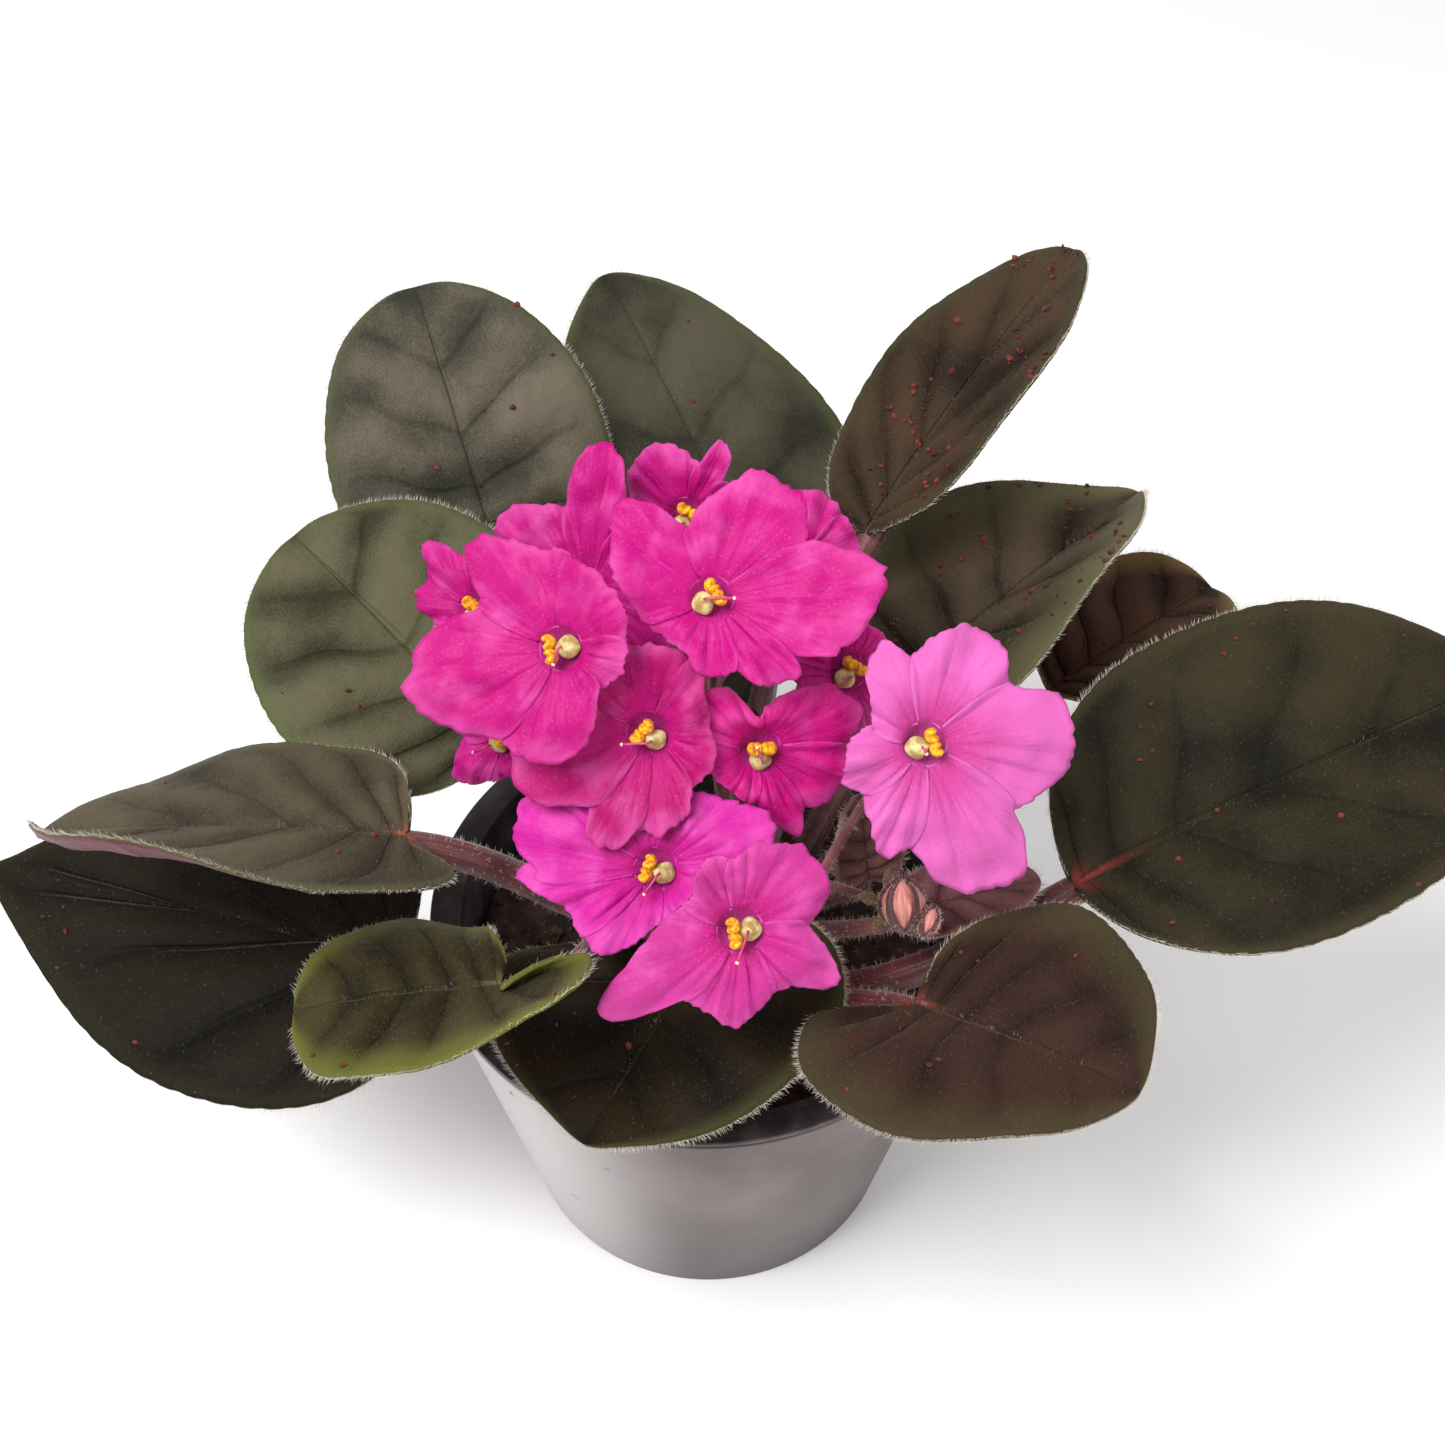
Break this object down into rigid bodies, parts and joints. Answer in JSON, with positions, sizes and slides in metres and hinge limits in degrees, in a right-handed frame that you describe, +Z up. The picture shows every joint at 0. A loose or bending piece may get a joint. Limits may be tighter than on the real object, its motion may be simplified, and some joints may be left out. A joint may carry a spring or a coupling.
{
  "type": "potted african violet",
  "caption": "Flowering house plant with rounded velvety leaves on red stalks around a cluster of pink flowers, in a dark inner pot inside a plain tapered outer pot.",
  "frame": {"origin": "centre of the outer pot's base, where it rests on the ground", "axes": "+Z up, the plant is looked at from -Y and +X is to that viewer's right"},
  "size_m": [0.2476, 0.1739, 0.1441],
  "materials": {
    "outer_pot": "smooth white plastic",
    "nursery_pot": "dull dark plastic",
    "soil": "crumbly dark soil",
    "crown": "hairy red stem",
    "leaf_back_left": "velvety",
    "leaf_back": "velvety",
    "leaf_back_right": "velvety",
    "leaf_right_back": "velvety",
    "leaf_right_small": "velvety",
    "leaf_right": "velvety",
    "leaf_front_right": "velvety",
    "leaf_front": "velvety",
    "leaf_front_left_young": "velvety",
    "leaf_left_upper": "velvety",
    "leaf_left_lower": "velvety",
    "leaf_left_back": "velvety",
    "leaf_young_low": "hairy young leaf",
    "leaf_young_upright": "hairy young leaf",
    "bloom_01": "soft, sparkling petals",
    "bloom_02": "soft, sparkling petals",
    "bloom_03": "soft, sparkling petals",
    "bloom_04": "soft, sparkling petals",
    "bloom_05": "soft, sparkling petals",
    "bloom_06": "soft, sparkling petals",
    "bloom_07": "soft, sparkling petals",
    "bloom_08": "soft, sparkling petals",
    "bloom_09": "soft, sparkling petals",
    "bloom_10": "soft, sparkling petals",
    "bloom_11": "soft, sparkling petals",
    "bloom_12": "soft, sparkling petals",
    "bloom_13": "soft, sparkling petals",
    "stamens_01": "powdery",
    "stamens_02": "powdery",
    "stamens_03": "powdery",
    "stamens_04": "powdery",
    "stamens_05": "powdery",
    "stamens_06": "powdery",
    "stamens_07": "powdery",
    "stamens_08": "powdery",
    "stamens_09": "powdery",
    "stamens_10": "powdery",
    "stamens_11": "powdery",
    "stamens_12": "powdery",
    "stamens_13": "powdery",
    "flower_stalk_centre": "hairy stalk",
    "flower_stalk_front": "hairy stalk",
    "flower_stalk_left": "hairy stalk",
    "flower_stalk_middle": "hairy stalk",
    "flower_stalk_right": "hairy stalk",
    "bud": "soft"
  },
  "bodies": {
    "root": {"outer_pot": "outer_pot", "nursery_pot": "nursery_pot", "soil": "soil", "crown": "crown", "leaf_back_left": "leaf_back_left", "leaf_back": "leaf_back", "leaf_back_right": "leaf_back_right", "leaf_right_back": "leaf_right_back", "leaf_right_small": "leaf_right_small", "leaf_right": "leaf_right", "leaf_front_right": "leaf_front_right", "leaf_front": "leaf_front", "leaf_front_left_young": "leaf_front_left_young", "leaf_left_upper": "leaf_left_upper", "leaf_left_lower": "leaf_left_lower", "leaf_left_back": "leaf_left_back", "leaf_young_low": "leaf_young_low", "leaf_young_upright": "leaf_young_upright", "bloom_01": "bloom_01", "bloom_02": "bloom_02", "bloom_03": "bloom_03", "bloom_04": "bloom_04", "bloom_05": "bloom_05", "bloom_06": "bloom_06", "bloom_07": "bloom_07", "bloom_08": "bloom_08", "bloom_09": "bloom_09", "bloom_10": "bloom_10", "bloom_11": "bloom_11", "bloom_12": "bloom_12", "bloom_13": "bloom_13", "stamens_01": "stamens_01", "stamens_02": "stamens_02", "stamens_03": "stamens_03", "stamens_04": "stamens_04", "stamens_05": "stamens_05", "stamens_06": "stamens_06", "stamens_07": "stamens_07", "stamens_08": "stamens_08", "stamens_09": "stamens_09", "stamens_10": "stamens_10", "stamens_11": "stamens_11", "stamens_12": "stamens_12", "stamens_13": "stamens_13", "flower_stalk_centre": "flower_stalk_centre", "flower_stalk_front": "flower_stalk_front", "flower_stalk_left": "flower_stalk_left", "flower_stalk_middle": "flower_stalk_middle", "flower_stalk_right": "flower_stalk_right", "bud": "bud"}
  },
  "joints": []
}
